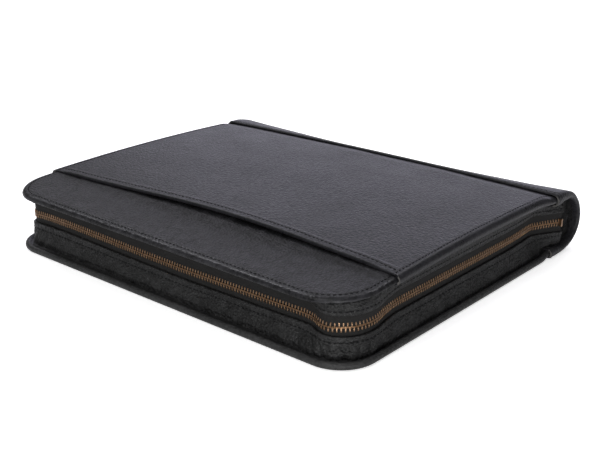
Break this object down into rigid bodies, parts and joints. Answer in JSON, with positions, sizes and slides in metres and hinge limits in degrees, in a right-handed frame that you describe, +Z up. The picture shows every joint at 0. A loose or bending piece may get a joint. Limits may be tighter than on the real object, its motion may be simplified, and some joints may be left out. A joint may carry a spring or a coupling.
{
  "type": "leather organizer",
  "caption": "Black leather A4 organizer with a slip pocket on its front cover, a soft spine and a brass zip round three sides, lying closed.",
  "frame": {"origin": "middle of the footprint, on the surface that the case lies on", "axes": "+X along the long zipped edge, +Y from that edge to the spine, +Z up through the front cover"},
  "size_m": [0.34, 0.294, 0.0576],
  "materials": {
    "cover_leather": "fine grain, satin",
    "gusset_leather": "soft grain, satin",
    "zip_tape": "woven, matt",
    "zip_brass": "antique"
  },
  "bodies": {
    "root": {"front_cover": "cover_leather", "front_pocket": "cover_leather", "spine": "cover_leather", "back_cover": "cover_leather", "upper_gusset": "gusset_leather", "lower_gusset": "gusset_leather", "spine_end_right": "gusset_leather", "spine_end_left": "gusset_leather", "upper_zip_tape": "zip_tape", "lower_zip_tape": "zip_tape", "zip_chain": "zip_brass", "zip_end_stop": "zip_brass", "zip_slider": "zip_brass"}
  },
  "joints": []
}
